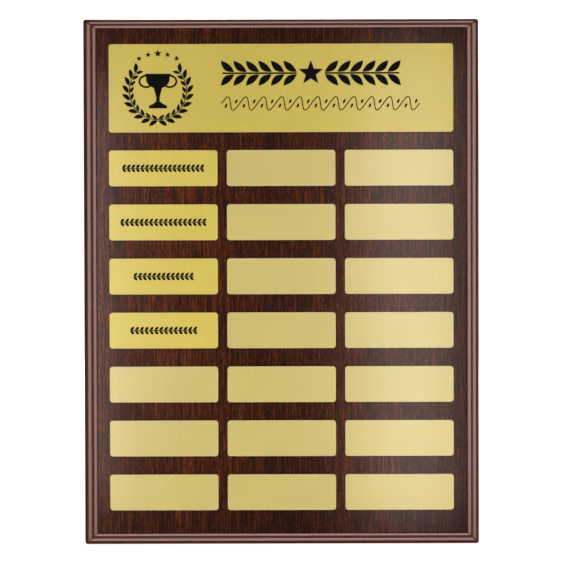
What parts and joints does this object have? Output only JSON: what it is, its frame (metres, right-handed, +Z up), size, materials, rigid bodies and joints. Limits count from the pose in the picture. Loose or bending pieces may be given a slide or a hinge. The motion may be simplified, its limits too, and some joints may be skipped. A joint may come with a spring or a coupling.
{
  "type": "perpetual award plaque",
  "caption": "Upright rectangular wooden plaque with a beaded edge, a wide brushed brass header plate, rows of small brass name plates, and a keyhole hanger on the back.",
  "frame": {"origin": "centre of the flat back face, which rests on the wall", "axes": "+X to the right across the width, +Z up the height, and the front faces -Y; the back face is at Y = 0"},
  "size_m": [0.2304, 0.0158, 0.3064],
  "materials": {
    "edge_lacquer": "satin brown lacquer over sanded MDF",
    "face_veneer": "dark walnut veneer with upright grain, semi-gloss lacquer",
    "back_laminate": "matt brown resin-faced paper",
    "header_brass": "upright satin brush, clear lacquer",
    "name_brass": "upright satin brush, clear lacquer",
    "engraving": "black enamel fill",
    "mounting_tape": "white double-sided tape",
    "hanger_steel": "zinc plated, pressed",
    "screw_steel": "yellow zinc plated"
  },
  "bodies": {
    "root": {"board_core": "edge_lacquer", "face_veneer": "face_veneer", "back_laminate": "back_laminate", "keyhole_hanger": "hanger_steel", "hanger_screw_top": "screw_steel", "hanger_screw_bottom": "screw_steel", "header_plate": "header_brass", "header_tape": "mounting_tape", "name_plate_r1c1": "name_brass", "name_plate_r1c2": "name_brass", "name_plate_r1c3": "name_brass", "name_plate_r2c1": "name_brass", "name_plate_r2c2": "name_brass", "name_plate_r2c3": "name_brass", "name_plate_r3c1": "name_brass", "name_plate_r3c2": "name_brass", "name_plate_r3c3": "name_brass", "name_plate_r4c1": "name_brass", "name_plate_r4c2": "name_brass", "name_plate_r4c3": "name_brass", "name_plate_r5c1": "name_brass", "name_plate_r5c2": "name_brass", "name_plate_r5c3": "name_brass", "name_plate_r6c1": "name_brass", "name_plate_r6c2": "name_brass", "name_plate_r6c3": "name_brass", "name_plate_r7c1": "name_brass", "name_plate_r7c2": "name_brass", "name_plate_r7c3": "name_brass", "name_tape_r1c1": "mounting_tape", "name_tape_r1c2": "mounting_tape", "name_tape_r1c3": "mounting_tape", "name_tape_r2c1": "mounting_tape", "name_tape_r2c2": "mounting_tape", "name_tape_r2c3": "mounting_tape", "name_tape_r3c1": "mounting_tape", "name_tape_r3c2": "mounting_tape", "name_tape_r3c3": "mounting_tape", "name_tape_r4c1": "mounting_tape", "name_tape_r4c2": "mounting_tape", "name_tape_r4c3": "mounting_tape", "name_tape_r5c1": "mounting_tape", "name_tape_r5c2": "mounting_tape", "name_tape_r5c3": "mounting_tape", "name_tape_r6c1": "mounting_tape", "name_tape_r6c2": "mounting_tape", "name_tape_r6c3": "mounting_tape", "name_tape_r7c1": "mounting_tape", "name_tape_r7c2": "mounting_tape", "name_tape_r7c3": "mounting_tape"}
  },
  "joints": []
}
